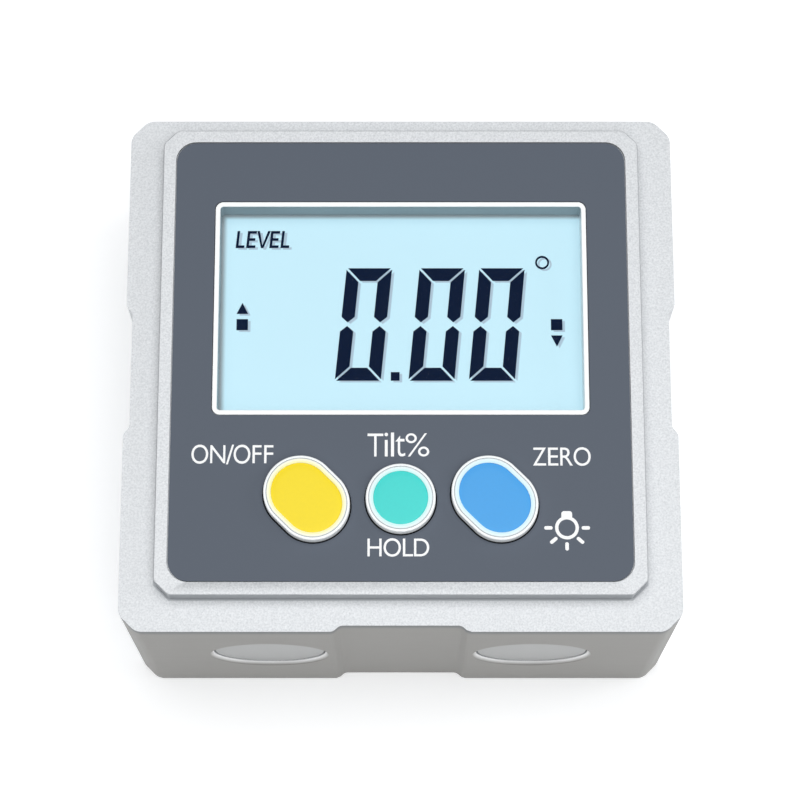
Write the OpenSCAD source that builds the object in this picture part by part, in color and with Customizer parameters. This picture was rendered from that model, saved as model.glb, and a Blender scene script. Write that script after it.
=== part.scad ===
// Digital angle gauge with a magnetic base, lying on its back with the display up.
// X runs to the right of the display, Y to the gauge's top edge and Z out of the display.
// The origin is the middle of the back face. All sizes are in millimetres.

/* [Body] */
// Width of the cast body
body_w = 54; // [53.5:0.5:64]
// Height of the cast body, from the magnetic base to the top edge
body_h = 52; // [51:0.5:62]
// Depth of the cast body, from the back to the front rim
body_d = 26; // [24:0.5:32]
// Thickness of the side walls
wall = 2; // [1.6:0.1:2.2]
// Thickness of the front behind the rim
rim_t = 2; // [1.5:0.1:3]
// Leg of the cut across each outer corner
corner_cut = 1.7; // [1:0.1:3]

/* [Side recesses] */
// Depth of the shallow recess in the base and in both sides
recess_depth = 0.6; // [0.2:0.1:1]
// Length of the recess floor
recess_floor = 11.6; // [8:0.2:16]
// Length of the ramp at each end of a recess
recess_ramp = 0.7; // [0.4:0.1:2]

/* [Raised front] */
// Width of the rim on each side of the raised panel
side_rim = 3.45; // [2.75:0.05:4]
// Width of the rim above the raised panel
top_rim = 1.73; // [1.2:0.01:2.5]
// Width of the rim below the raised panel
foot_rim = 3.17; // [2.5:0.01:4]
// Height of the raised panel over the rim
panel_rise = 2; // [1.8:0.1:3]
// Leg of the cut across each corner of the panel
panel_cut = 1.4; // [0.5:0.1:3]
// Thickness of the panel's own side walls
panel_wall = 1.8; // [1:0.1:1.9]
// Thickness of metal left under the overlay
front_plate = 1.4; // [1:0.1:1.6]

/* [Overlay] */
// Width of the metal border round the overlay
border = 1.35; // [1.2:0.05:2.5]
// Thickness of the overlay sheet
overlay_t = 0.35; // [0.2:0.05:0.5]
// Corner radius of the overlay
overlay_r = 2; // [0.5:0.1:4]
// Depth of the overlay's face below the panel's face
overlay_sink = 0.05; // [0:0.01:0.2]

/* [Display] */
// Distance from the overlay's sides to the window
window_side = 4.4; // [4:0.1:6]
// Distance from the overlay's upper edge to the window
window_head = 6.675; // [6:0.025:9]
// Distance from the overlay's lower edge to the window
window_foot = 16.875; // [16:0.025:18]
// Corner radius of the window
window_r = 0.3; // [0.3:0.1:2]
// Width of the white lip round the window
lip_w = 0.48; // [0.3:0.02:0.7]
// Depth of the display's face below the overlay's face
display_depth = 2.55; // [2.3:0.05:3.5]
// Thickness of the clear lens
lens_t = 1; // [0.5:0.1:1.5]
// Depth of the lens below the top of the lip
lens_sink = 0.1; // [0:0.05:0.3]
// Thickness of the display glass
glass_t = 2; // [1.6:0.1:3]
// Margin of the display glass outside the window, on every side
glass_margin = 1.5; // [1:0.1:1.6]
// Wall of the frame that holds the display
frame_wall = 1; // [0.8:0.1:1.1]
// Thickness of the light guide behind the display
guide_t = 3.2; // [2.8:0.1:5]
// Width of the elastic contact strip
strip_w = 1; // [0.6:0.1:1.2]

/* [Digits] */
// Height of a digit
digit_h = 11.58; // [8:0.1:13]
// Width of a digit
digit_w = 4.5; // [3.6:0.1:5]
// Width of a digit's stroke
digit_stroke = 1.3; // [0.8:0.05:1.5]
// Sideways lean of the digits for each millimetre of height
digit_lean = 0.096; // [0:0.002:0.2]
// Gap between neighbouring strokes
stroke_gap = 0.16; // [0.1:0.02:0.4]
// Height of the digits' foot above the window's lower edge
digit_foot = 3.665; // [2:0.005:4.5]
// Left edge of the first digit at its foot, from the display's middle
digit_x = -6.46; // [-9:0.02:-5]
// Distance between two digits
digit_pitch = 5.92; // [5.3:0.02:7]
// Extra distance for the decimal point
point_room = 1.3; // [1.1:0.05:2]
// Side of the square decimal point
point = 0.86; // [0.5:0.02:1]
// Radius of the degree ring
ring_r = 0.69; // [0.4:0.01:1]
// Width of the degree ring's line
ring_line = 0.18; // [0.1:0.01:0.3]
// Distance of the degree ring from the last digit
ring_side = 2.85; // [2.4:0.05:3.2]
// Height of the degree ring's middle over the digits
ring_rise = 0.61; // [0:0.01:1]
// Side of the square direction marks
mark = 1.12; // [0.6:0.02:1.4]
// Distance of the left direction mark from the window's side
left_mark_side = 2.18; // [1:0.02:3]
// Distance of the right direction mark from the window's side
right_mark_side = 2.43; // [1:0.01:3]
// Distance of the square direction marks below the window's middle
mark_drop = 1.02; // [0:0.02:3]
// Height of the small letters
letter_h = 1.76; // [1.2:0.02:2.4]
// Distance of the small letters from the window's left edge
letter_side = 1.4; // [1:0.05:4]
// Distance of the small letters' foot below the window's upper edge
letter_drop = 3.46; // [2.6:0.005:4.5]

/* [Buttons] */
// Distance of the row of buttons below the window
button_drop = 8.95; // [8:0.005:9.5]
// Distance between two buttons
button_pitch = 9; // [8.8:0.1:10]
// End radius of the two oval buttons
oval_r = 3.55; // [3:0.05:3.85]
// Distance between the end centres of an oval button
oval_stretch = 1.7; // [0:0.1:2]
// Radius of the round middle button
round_r = 3.35; // [2.8:0.05:3.55]
// Height of the buttons over the overlay's face
button_rise = 1.05; // [0.6:0.05:2]
// Width of the white rim round a button's coloured face
button_rim = 0.72; // [0.4:0.02:1]
// Depth of the coloured face in the button
face_t = 0.6; // [0.3:0.05:1]
// Width of the ledge that keeps a button in the body
ledge_w = 0.5; // [0.4:0.05:0.55]
// Thickness of that ledge
ledge_t = 0.8; // [0.5:0.1:1]
// Travel of a button
button_travel = 0.5; // [0.2:0.05:0.6]
// Gap round a button
button_gap = 0.15; // [0.1:0.01:0.2]

/* [Switches] */
// Side of a square switch body
switch_w = 6; // [5:0.1:6.4]
// Height of a switch body
switch_h = 3.5; // [3:0.1:3.8]
// Diameter of a switch plunger
plunger_d = 3.4; // [2:0.1:4]
// Height of the plunger over the switch body
plunger_rise = 0.8; // [0.7:0.1:1]
// Depth of the plunger inside the switch body
plunger_in = 1.8; // [1:0.1:2]

/* [Magnets] */
// Diameter of a base magnet
magnet_d = 11; // [8:0.1:12]
// Thickness of a base magnet
magnet_t = 2; // [1.5:0.1:3]
// Distance between the two magnets
magnet_pitch = 26.1; // [24:0.1:27]
// Depth of a magnet's face below the base
magnet_sink = 0.4; // [0:0.05:0.6]
// Shift of the magnets from the middle of the base towards the display
magnet_shift = 0.65; // [-1:0.05:1]
// Metal round and behind a magnet
magnet_boss = 1.3; // [1:0.1:1.5]
// Leg of the cut at the mouth of a magnet's pocket
pocket_cut = 0.35; // [0.1:0.05:0.5]

/* [Cells] */
// Diameter of a battery cell
cell_d = 10.5; // [9.8:0.1:10.5]
// Diameter of a cell's button
cell_button_d = 3.8; // [3:0.1:4]
// Height of a cell's button
cell_button_h = 0.8; // [0.6:0.1:1]
// Gap beside and over the cells
cell_gap = 0.25; // [0.15:0.05:0.5]
// Room for a contact at each end of the cells
contact_room = 1.2; // [1:0.1:1.3]
// Thickness of the contact strip
contact_t = 0.3; // [0.2:0.05:0.4]
// Width of a contact
contact_w = 6; // [3:0.5:8]

/* [Back] */
// Thickness of the back cover and of the battery door
cover_t = 1.8; // [1.5:0.1:2.5]
// Depth of the cover's face below the body's back
cover_sink = 0.2; // [0.1:0.05:0.5]
// Gap round the back cover
cover_gap = 0.15; // [0.1:0.05:0.4]
// Wall of the battery bay
bay_wall = 1.2; // [0.8:0.1:1.3]
// Gap between the battery bay and the body's side walls
bay_gap = 0.35; // [0.25:0.05:1]
// Gap round the battery door
door_gap = 0.2; // [0.15:0.05:0.3]
// Reach of the door's hooks under the cover
hook_reach = 0.8; // [0.5:0.1:1]
// Thickness of the door's hooks
hook_t = 0.8; // [0.5:0.1:1]
// Width of a door hook
hook_w = 5; // [3:0.5:8]
// Distance between the two door hooks
hook_pitch = 24; // [12:1:32]
// Radius of the finger notch beside the door
notch_r = 6; // [4:0.5:8]
// Depth of the finger notch
notch_depth = 0.9; // [0.4:0.1:1.2]
// Number of grip ribs on the door
rib_count = 5; // [3:1:7]
// Width and height of a grip rib's groove
rib_w = 0.7; // [0.4:0.1:1]

/* [Chips] */
// Distance of the two chips from the middle of the board
chip_x = 9; // [6:0.5:12]
// Distance of the two chips' middle above the battery bay
chip_rise = 4.2; // [3.5:0.1:5]
// Side of the square controller chip
controller_w = 7; // [4:0.5:9]
// Thickness of the controller chip
controller_t = 1.4; // [0.8:0.1:2]
// Side of the square tilt sensor
sensor_w = 3; // [2:0.5:5]
// Thickness of the tilt sensor
sensor_t = 1; // [0.6:0.1:1.6]
// Width and height of a chip capacitor
capacitor_w = 0.8; // [0.5:0.1:1.2]
// Length of a chip capacitor
capacitor_l = 1.6; // [1:0.1:3]
// Distance between two chip capacitors
capacitor_pitch = 1.6; // [1.4:0.1:2]
// Distance of the capacitors' middle above the battery bay
capacitor_rise = 3.2; // [2:0.1:5]

/* [Board and screws] */
// Thickness of the circuit board
board_t = 1.6; // [0.8:0.2:2]
// Gap between the board and the body
board_gap = 0.4; // [0.2:0.1:0.8]
// Side of the corner posts that take the cover's screws
post = 5; // [4.4:0.1:5.1]
// Radius of the bosses that carry the board
boss_r = 2.2; // [1.8:0.1:2.4]
// Gap between the outer buttons and the bosses beside them
boss_gap = 1.4; // [0.5:0.1:2]
// Diameter of all screw shanks
screw_d = 2; // [1.6:0.1:2.4]
// Diameter of all screw heads
head_d = 3.8; // [3.4:0.1:4]
// Height of all screw heads
head_h = 1; // [0.6:0.1:1.2]
// Depth of a cover screw in its post
cover_grip = 7; // [4:0.5:10]
// Depth of a board screw in its boss
board_grip = 3.5; // [2:0.5:3.5]

/* [Hidden] */
$fn = 64;

// Small clearance between pieces that are fitted together
slip = 0.05;
// Overlap that makes a cut pass through a face, or a boss join a wall
through = 0.5;
// Thickness of the dark display marks
mark_t = 0.1;

cavity_w = body_w - 2 * wall;
cavity_h = body_h - 2 * wall;
rim_under = body_d - rim_t;

panel_w = body_w - 2 * side_rim;
panel_h = body_h - top_rim - foot_rim;
panel_y = (foot_rim - top_rim) / 2;
overlay_w = panel_w - 2 * border;
overlay_h = panel_h - 2 * border;
overlay_z = body_d + panel_rise - overlay_sink;
seat_z = overlay_z - overlay_t;
plate_under = seat_z - front_plate;

window_w = overlay_w - 2 * window_side;
window_h = overlay_h - window_head - window_foot;
window_y = panel_y + (window_foot - window_head) / 2;
window_low = window_y - window_h / 2;
window_high = window_y + window_h / 2;
lip_r = window_r + lip_w;
frame_top = plate_under - 2 * slip;
glass_z = overlay_z - display_depth;
glass_w = window_w + 2 * glass_margin;
glass_h = window_h + 2 * glass_margin;
frame_in_w = glass_w + 4 * slip;
frame_in_h = glass_h + 4 * slip;
frame_w = frame_in_w + 2 * frame_wall;
frame_h = frame_in_h + 2 * frame_wall;
glass_under = glass_z - glass_t;
board_top = glass_under - guide_t;
board_z = board_top - board_t;

// Side-lit lamp beside the light guide
led = [1.4, 3, 2];
led_gap = 0.2;
guide_w = glass_w - led.x - 2 * led_gap;
guide_h = glass_h - strip_w - 3 * led_gap;

// Length of a stroke's point, as a share of the stroke's width
stroke_point = 0.43;
// Widths of the small letters and the left end of each, as shares of their height
letter_l_w = 0.48 * letter_h;
letter_e_w = 0.51 * letter_h;
letter_v_w = 0.75 * letter_h;
letter_line = letter_h / 7;
letter_places = [0, 0.59, 1.12, 1.9, 2.53] * letter_h;

button_y = window_low - button_drop;
oval_reach = oval_stretch / 2 * cos(45) + oval_r + ledge_w;
button_top = overlay_z + button_rise;
ledge_top = plate_under - 2 * slip;
ledge_under = ledge_top - ledge_t;
plunger_top = board_top + switch_h + plunger_rise;
plunger_z = board_top + switch_h - plunger_in;

pocket_t = magnet_t + magnet_sink;
magnet_z = body_d / 2 + magnet_shift;
magnet_boss_y = -body_h / 2 + pocket_t + magnet_boss;

cover_in = cover_sink + cover_t;
cell_z = cover_in + cell_gap + cell_d / 2;
cell_pitch = cell_d + 2 * cell_gap;
bay_w = cavity_w - 2 * bay_gap;
bay_in_w = bay_w - 2 * bay_wall;
bay_in_h = 2 * cell_d + 4 * cell_gap;
cell_l = bay_in_w - 2 * contact_room;
bow_h = cell_d / 3;
bay_h = bay_in_h + 2 * bay_wall;
bay_roof = cell_z + cell_d / 2 + cell_gap;
bay_top = bay_roof + bay_wall;
contact_tab = contact_w / 2;
door_w = bay_in_w - 2 * door_gap;
door_h = bay_in_h - 2 * door_gap;

post_x = (cavity_w - post) / 2;
post_y = (cavity_h - post) / 2;
board_foot = magnet_boss_y + board_gap;
board_head = cavity_h / 2 - board_gap;
boss_x = button_pitch + oval_reach + boss_r + boss_gap;
boss_high = [0, cavity_h / 2 - boss_r - 2 * slip];
boss_places = [[-boss_x, button_y], [boss_x, button_y], boss_high];
post_places = [for (x = [-1, 1]) for (y = [-1, 1]) [x * post_x, y * post_y]];

// Rectangle round the origin with its corners cut off
module cut_rect(w, h, cut) {
    x = w / 2;
    y = h / 2;
    polygon([
        [-x + cut, -y], [x - cut, -y], [x, -y + cut], [x, y - cut],
        [x - cut, y], [-x + cut, y], [-x, y - cut], [-x, -y + cut]
    ]);
}

// Rectangle round the origin with round corners
module round_rect(w, h, r) {
    square([w - 2 * r, h], center = true);
    square([w, h - 2 * r], center = true);
    for (x = [-1, 1], y = [-1, 1])
        translate([x * (w / 2 - r), y * (h / 2 - r)])
            circle(r);
}

// Outline of an oval button, drawn out from upper left to lower right
module oval(r) {
    rotate(-45) {
        square([oval_stretch, 2 * r], center = true);
        for (x = [-1, 1])
            translate([x * oval_stretch / 2, 0])
                circle(r);
    }
}

// Outline of the button at a place in the row, grown by an amount
module button_outline(place, grow) {
    translate([place * button_pitch, button_y]) {
        if (place == 0)
            circle(round_r + grow);
        else
            oval(oval_r + grow);
    }
}

// Shallow recess in a side that faces down the page
module side_recess() {
    floor_x = recess_floor / 2;
    mouth_x = floor_x + recess_ramp * (1 + through / recess_depth);
    polygon([
        [-mouth_x, -through], [mouth_x, -through],
        [floor_x, recess_depth], [-floor_x, recess_depth]
    ]);
}

module body_outline() {
    difference() {
        cut_rect(body_w, body_h, corner_cut);
        translate([0, -body_h / 2])
            side_recess();
        translate([-body_w / 2, 0])
            rotate(-90)
                side_recess();
        translate([body_w / 2, 0])
            rotate(90)
                side_recess();
    }
}

module at_magnet(side) {
    translate([side * magnet_pitch / 2, -body_h / 2, magnet_z])
        rotate([-90, 0, 0])
            children();
}

module housing_blank() {
    difference() {
        union() {
            linear_extrude(body_d)
                body_outline();
            translate([0, panel_y, body_d])
                linear_extrude(panel_rise)
                    cut_rect(panel_w, panel_h, panel_cut);
        }
        translate([0, 0, -through])
            linear_extrude(rim_under + through)
                square([cavity_w, cavity_h], center = true);
        translate([0, panel_y, rim_under - through])
            linear_extrude(plate_under - rim_under + through)
                square([panel_w - 2 * panel_wall, panel_h - 2 * panel_wall], center = true);
    }
    for (p = post_places)
        translate([p.x, p.y, cover_in])
            linear_extrude(rim_under - cover_in + through)
                square(post + 2 * slip, center = true);
    for (p = boss_places)
        translate([p.x, p.y, board_top])
            cylinder(r = boss_r, h = plate_under - board_top + through);
    for (side = [-1, 1])
        at_magnet(side)
            translate([0, 0, wall / 2])
                cylinder(d = magnet_d + 2 * magnet_boss, h = pocket_t + magnet_boss - wall / 2);
}

module housing() {
    color("#d6dadd") difference() {
        housing_blank();
        translate([0, panel_y, seat_z])
            linear_extrude(body_d + panel_rise)
                round_rect(overlay_w + 4 * slip, overlay_h + 4 * slip, overlay_r);
        translate([0, window_y, plate_under - through])
            linear_extrude(body_d)
                round_rect(window_w + 2 * lip_w + 6 * slip, window_h + 2 * lip_w + 6 * slip, lip_r);
        for (place = [-1, 0, 1])
            translate([0, 0, plate_under - through])
                linear_extrude(body_d)
                    button_outline(place, button_gap);
        for (p = post_places)
            translate([p.x, p.y, cover_in - through])
                cylinder(d = screw_d + 2 * slip, h = cover_grip + 2 * through);
        for (p = boss_places)
            translate([p.x, p.y, board_top - through])
                cylinder(d = screw_d + 2 * slip, h = board_grip + 2 * through);
        for (side = [-1, 1])
            at_magnet(side) {
                translate([0, 0, -through])
                    cylinder(d = magnet_d + 2 * slip, h = pocket_t + through);
                cylinder(d1 = magnet_d + 2 * slip + 2 * pocket_cut, d2 = magnet_d + 2 * slip, h = pocket_cut);
            }
    }
}

module front_overlay() {
    color("#616974") translate([0, 0, seat_z]) linear_extrude(overlay_t) difference() {
        translate([0, panel_y])
            round_rect(overlay_w, overlay_h, overlay_r);
        translate([0, window_y])
            round_rect(window_w + 2 * lip_w + 2 * slip, window_h + 2 * lip_w + 2 * slip, lip_r);
        for (place = [-1, 0, 1])
            button_outline(place, button_gap);
    }
}

// White moulding that holds the display from behind and shows as a lip round the window.
// It keeps clear of the body's posts and bosses.
module display_frame() {
    color("#f7fafb") difference() {
        union() {
            translate([0, window_y, board_top])
                linear_extrude(frame_top - board_top)
                    square([frame_w, frame_h], center = true);
            translate([0, window_y, frame_top])
                linear_extrude(overlay_z - frame_top)
                    round_rect(window_w + 2 * lip_w, window_h + 2 * lip_w, lip_r);
        }
        translate([0, window_y, board_top - through])
            linear_extrude(glass_z - board_top + through)
                square([frame_in_w, frame_in_h], center = true);
        translate([0, window_y, glass_z - through])
            linear_extrude(display_depth + 2 * through)
                round_rect(window_w, window_h, window_r);
        for (p = post_places)
            translate([p.x, p.y, board_top - through])
                linear_extrude(plate_under - board_top + 2 * through)
                    square(post + 4 * slip, center = true);
        for (p = boss_places)
            translate([p.x, p.y, board_top - through])
                cylinder(r = boss_r + slip, h = plate_under - board_top + 2 * through);
    }
}

module display_lens() {
    color("#e8f6fb", 0.3) translate([0, window_y, overlay_z - lens_sink - lens_t])
        linear_extrude(lens_t)
            round_rect(window_w - 2 * slip, window_h - 2 * slip, window_r);
}

module lcd_glass() {
    color("#caf0fd") translate([0, window_y, glass_under])
        linear_extrude(glass_t)
            square([glass_w, glass_h], center = true);
}

// Polygon that leans to the right as it rises
module leaning(points) {
    polygon([for (p = points) [p.x + p.y * digit_lean, p.y]]);
}

// Upright stroke in the upper left of a digit, pointed at the digit's middle
module side_stroke(x, flip_x, flip_y) {
    middle = digit_h / 2;
    tip = middle + 1.25 * stroke_gap;
    shoulder = tip + digit_stroke * stroke_point;
    points = [
        [0, digit_h - stroke_gap], [0, shoulder], [digit_stroke / 2, tip],
        [digit_stroke, shoulder], [digit_stroke, digit_h - digit_stroke - stroke_gap]
    ];
    leaning([
        for (p = points) [
            x + (flip_x ? digit_w - p.x : p.x),
            flip_y ? digit_h - p.y : p.y
        ]
    ]);
}

// Level stroke at a digit's head, or at its foot when flipped
module level_stroke(x, flip) {
    points = [
        [stroke_gap, digit_h], [digit_w - stroke_gap, digit_h],
        [digit_w - digit_stroke - stroke_gap, digit_h - digit_stroke],
        [digit_stroke + stroke_gap, digit_h - digit_stroke]
    ];
    leaning([for (p = points) [x + p.x, flip ? digit_h - p.y : p.y]]);
}

module digit_zero(x) {
    for (flip = [false, true]) {
        level_stroke(x, flip);
        for (flip_x = [false, true])
            side_stroke(x, flip_x, flip);
    }
}

// Direction mark: a square and a triangle that points up, or down when flipped
module direction_mark(x, flip) {
    translate([x, window_y - mark_drop])
        mirror([0, flip ? 1 : 0]) {
            square(mark, center = true);
            translate([0, mark])
                polygon([[-mark / 2, 0], [mark / 2, 0], [0, mark]]);
        }
}

// The small capital letters of the level mark, each from its left foot
module letter_l(x) {
    s = letter_line;
    w = letter_l_w;
    leaning([[x, 0], [x + w, 0], [x + w, s], [x + s, s], [x + s, letter_h], [x, letter_h]]);
}

module letter_e(x) {
    s = letter_line;
    w = letter_e_w;
    arm = w - s / 3;
    a = (letter_h - s) / 2;
    leaning([
        [x, 0], [x + w, 0], [x + w, s], [x + s, s], [x + s, a], [x + arm, a],
        [x + arm, a + s], [x + s, a + s], [x + s, letter_h - s], [x + w, letter_h - s],
        [x + w, letter_h], [x, letter_h]
    ]);
}

module letter_v(x) {
    s = letter_line;
    w = letter_v_w;
    m = x + w / 2;
    leaning([
        [m - s / 2, 0], [m + s / 2, 0], [x + w, letter_h], [x + w - s, letter_h],
        [m, s], [x + s, letter_h], [x, letter_h]
    ]);
}

module level_letters() {
    letter_l(letter_places[0]);
    letter_e(letter_places[1]);
    letter_v(letter_places[2]);
    letter_e(letter_places[3]);
    letter_l(letter_places[4]);
}

module degree_ring() {
    difference() {
        circle(ring_r);
        circle(ring_r - ring_line);
    }
}

// The dark figures of the display, shown at zero degrees
module lcd_marks() {
    second_x = digit_x + digit_pitch + point_room;
    third_x = second_x + digit_pitch;
    color("#0e2232") translate([0, 0, glass_z]) linear_extrude(mark_t) {
        translate([0, window_low + digit_foot]) {
            digit_zero(digit_x);
            digit_zero(second_x);
            digit_zero(third_x);
            translate([second_x - point_room - point / 2, 0])
                square(point);
            translate([third_x + digit_w + ring_side, digit_h + ring_rise])
                degree_ring();
        }
        direction_mark(left_mark_side - window_w / 2, false);
        direction_mark(window_w / 2 - right_mark_side, true);
        translate([letter_side - window_w / 2, window_high - letter_drop])
            level_letters();
    }
}

module light_guide() {
    color("#eef4f4", 0.6)
        translate([-glass_w / 2, window_y - glass_h / 2, board_top])
            cube([guide_w, guide_h, guide_t]);
}

module backlight_led() {
    color("#fbfbf0")
        translate([glass_w / 2 - led.x, window_y - led.y / 2, board_top])
            cube(led);
}

// Elastic strip that links the display to the board along the display's upper edge
module contact_strip() {
    color("#c9a9ac")
        translate([-guide_w / 2, window_y + glass_h / 2 - strip_w - led_gap, board_top])
            cube([guide_w, strip_w, guide_t]);
}

module main_board() {
    color("#1f6b43") translate([0, 0, board_z]) linear_extrude(board_t) difference() {
        translate([0, (board_foot + board_head) / 2])
            square([cavity_w - 2 * board_gap, board_head - board_foot], center = true);
        for (p = post_places)
            translate(p)
                square(post + 2 * board_gap, center = true);
        for (p = boss_places)
            translate(p)
                circle(d = screw_d + 4 * slip);
    }
}

// Chip on the board's back, beside the battery bay
module chip(x, rise, size) {
    translate([x - size.x / 2, bay_h / 2 + rise - size.y / 2, board_z - size.z])
        cube(size);
}

module controller_chip() {
    color("#23262a") chip(chip_x, chip_rise, [controller_w, controller_w, controller_t]);
}

module tilt_sensor() {
    color("#2b2e33") chip(-chip_x, chip_rise, [sensor_w, sensor_w, sensor_t]);
}

module chip_capacitors() {
    color("#b59a72") for (i = [-2:2])
        chip(i * capacitor_pitch, capacitor_rise, [capacitor_w, capacitor_l, capacitor_w]);
}

module switch_bodies() {
    color("#2a2c2f") for (place = [-1, 0, 1])
        translate([place * button_pitch, button_y, board_top])
            difference() {
                translate([-switch_w / 2, -switch_w / 2, 0])
                    cube([switch_w, switch_w, switch_h]);
                translate([0, 0, switch_h - plunger_in - button_travel - 4 * slip])
                    cylinder(d = plunger_d + 2 * slip, h = switch_h);
            }
}

module plunger(place) {
    color("#e9e4d4") translate([place * button_pitch, button_y, plunger_z])
        cylinder(d = plunger_d, h = plunger_top - plunger_z);
}

module power_plunger() {
    plunger(-1);
}

module hold_plunger() {
    plunger(0);
}

module zero_plunger() {
    plunger(1);
}

// White button with a ledge that holds it in the body and a foot on its switch
module button(place) {
    color("#f4f8f6") difference() {
        union() {
            translate([0, 0, ledge_under])
                linear_extrude(button_top - ledge_under)
                    button_outline(place, 0);
            translate([0, 0, ledge_under])
                linear_extrude(ledge_t)
                    button_outline(place, ledge_w);
            translate([place * button_pitch, button_y, plunger_top])
                cylinder(d = plunger_d, h = ledge_under - plunger_top + through);
        }
        translate([0, 0, button_top - face_t])
            linear_extrude(face_t + through)
                button_outline(place, -button_rim);
    }
}

module power_button() {
    button(-1);
}

module hold_button() {
    button(0);
}

module zero_button() {
    button(1);
}

// Coloured face that fills the top of a button
module button_face(place, tint) {
    color(tint) translate([0, 0, button_top - face_t])
        linear_extrude(face_t)
            button_outline(place, -button_rim - slip);
}

module power_face() {
    button_face(-1, "#f9e142");
}

module hold_face() {
    button_face(0, "#59ddd7");
}

module zero_face() {
    button_face(1, "#5cadee");
}

module back_cover() {
    hook_slot = hook_w + 6 * slip;
    tab_slot = contact_tab + 6 * slip;
    color("#33363a") difference() {
        union() {
            translate([0, 0, cover_sink])
                linear_extrude(cover_t)
                    square([cavity_w - 2 * cover_gap, cavity_h - 2 * cover_gap], center = true);
            translate([0, 0, cover_in])
                linear_extrude(bay_top - cover_in)
                    square([bay_w, bay_h], center = true);
        }
        translate([0, 0, -through])
            linear_extrude(bay_roof + through)
                square([bay_in_w, bay_in_h], center = true);
        for (side = [-1, 1]) {
            translate([side * hook_pitch / 2 - hook_slot / 2, bay_in_h / 2 - through, cover_in])
                cube([hook_slot, bay_wall + 2 * through, hook_t + 12 * slip]);
            translate([-bay_in_w / 2 - slip, side * cell_pitch / 2 - tab_slot / 2, bay_roof - through])
                cube([contact_t + 4 * slip, tab_slot, bay_wall + 2 * through]);
        }
        translate([0, -bay_in_h / 2, cover_sink - through])
            cylinder(r = notch_r, h = notch_depth + through);
        for (p = post_places)
            translate([p.x, p.y, 0]) {
                cylinder(d = screw_d + 4 * slip, h = 2 * cover_in);
                cylinder(d = head_d + 4 * slip, h = cover_sink + head_h);
            }
    }
}

// Lid of the battery bay, hooked under the cover along its upper edge
module battery_door() {
    lip = bay_in_h / 2;
    color("#3a3d42") difference() {
        union() {
            translate([0, 0, cover_sink])
                linear_extrude(cover_t)
                    square([door_w, door_h], center = true);
            for (side = [-1, 1])
                translate([side * hook_pitch / 2 - hook_w / 2, lip - door_gap - hook_t, cover_in]) {
                    cube([hook_w, hook_t, hook_t + 2 * slip]);
                    translate([0, 0, 2 * slip])
                        cube([hook_w, hook_t + door_gap + hook_reach, hook_t]);
                }
        }
        for (i = [0:rib_count - 1])
            translate([-hook_pitch / 4, -door_h / 2 + (2 * i + 2) * rib_w, cover_sink - through])
                cube([hook_pitch / 2, rib_w, through + rib_w / 2]);
    }
}

// Dry cell that lies along X, with its button towards +X or -X
module cell(side, tint) {
    can_l = cell_l - cell_button_h;
    color(tint) translate([0, -side * cell_pitch / 2, cell_z])
        rotate([0, side * 90, 0])
            translate([0, 0, -cell_l / 2]) {
                cylinder(d = cell_d, h = can_l);
                translate([0, 0, can_l])
                    cylinder(d = cell_button_d, h = cell_button_h);
            }
}

module upper_cell() {
    cell(-1, "#3d4248");
}

module lower_cell() {
    cell(1, "#3d4248");
}

// Bowed contact strip against the end wall of the bay, seen along Y
module contact_bow(tab_top) {
    reach = contact_room - slip - contact_t;
    edge = [[0, cell_z - bow_h], [reach, cell_z], [0, cell_z + bow_h], [0, tab_top]];
    far = [for (i = [3:-1:0]) [edge[i].x + contact_t, edge[i].y]];
    polygon(concat(edge, far));
}

// Contact strip at the left end of the bay, with a tab up to the board
module board_contact(side) {
    color("#c8c3b4") translate([-bay_in_w / 2, side * cell_pitch / 2, 0])
        rotate([90, 0, 0]) {
            translate([0, 0, -contact_w / 2])
                linear_extrude(contact_w)
                    contact_bow(bay_roof - slip);
            translate([0, bay_roof - 4 * slip, -contact_tab / 2])
                linear_extrude(contact_tab)
                    square([contact_t, board_z - bay_roof + 4 * slip]);
        }
}

module positive_contact() {
    board_contact(1);
}

module negative_contact() {
    board_contact(-1);
}

// One strip with two bows that joins both cells at the right end of the bay
module link_contact() {
    bridge_z = cell_z + bow_h;
    color("#c8c3b4") translate([bay_in_w / 2, 0, 0]) rotate(180) {
        for (side = [-1, 1])
            translate([0, side * cell_pitch / 2 + contact_w / 2, 0])
                rotate([90, 0, 0])
                    linear_extrude(contact_w)
                        contact_bow(bay_roof - slip);
        translate([0, -cell_pitch / 2, bridge_z])
            cube([contact_t, cell_pitch, bay_roof - slip - bridge_z]);
    }
}

// Screw that points towards +Z, with a cross in its head
module screw(grip) {
    cross = head_d / 2;
    cross_w = head_d / 6;
    difference() {
        union() {
            cylinder(d = head_d, h = head_h);
            cylinder(d = screw_d, h = head_h + grip);
        }
        for (turn = [0, 90])
            rotate(turn)
                translate([-cross / 2, -cross_w / 2, -through])
                    cube([cross, cross_w, through + head_h / 2]);
    }
}

module cover_screws() {
    color("#8d9196") for (p = post_places)
        translate([p.x, p.y, cover_sink])
            screw(cover_t - head_h + cover_grip);
}

module board_screws() {
    color("#8d9196") for (p = boss_places)
        translate([p.x, p.y, board_z - head_h])
            screw(board_t + board_grip);
}

module magnet(side) {
    color("#aeb0b2") at_magnet(side)
        translate([0, 0, magnet_sink])
            cylinder(d = magnet_d, h = magnet_t);
}

module left_magnet() {
    magnet(-1);
}

module right_magnet() {
    magnet(1);
}

housing();
front_overlay();
display_frame();
display_lens();
lcd_glass();
lcd_marks();
light_guide();
backlight_led();
contact_strip();
main_board();
controller_chip();
tilt_sensor();
chip_capacitors();
switch_bodies();
power_plunger();
hold_plunger();
zero_plunger();
power_button();
hold_button();
zero_button();
power_face();
hold_face();
zero_face();
back_cover();
battery_door();
upper_cell();
lower_cell();
positive_contact();
negative_contact();
link_contact();
cover_screws();
board_screws();
left_magnet();
right_magnet();
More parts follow.
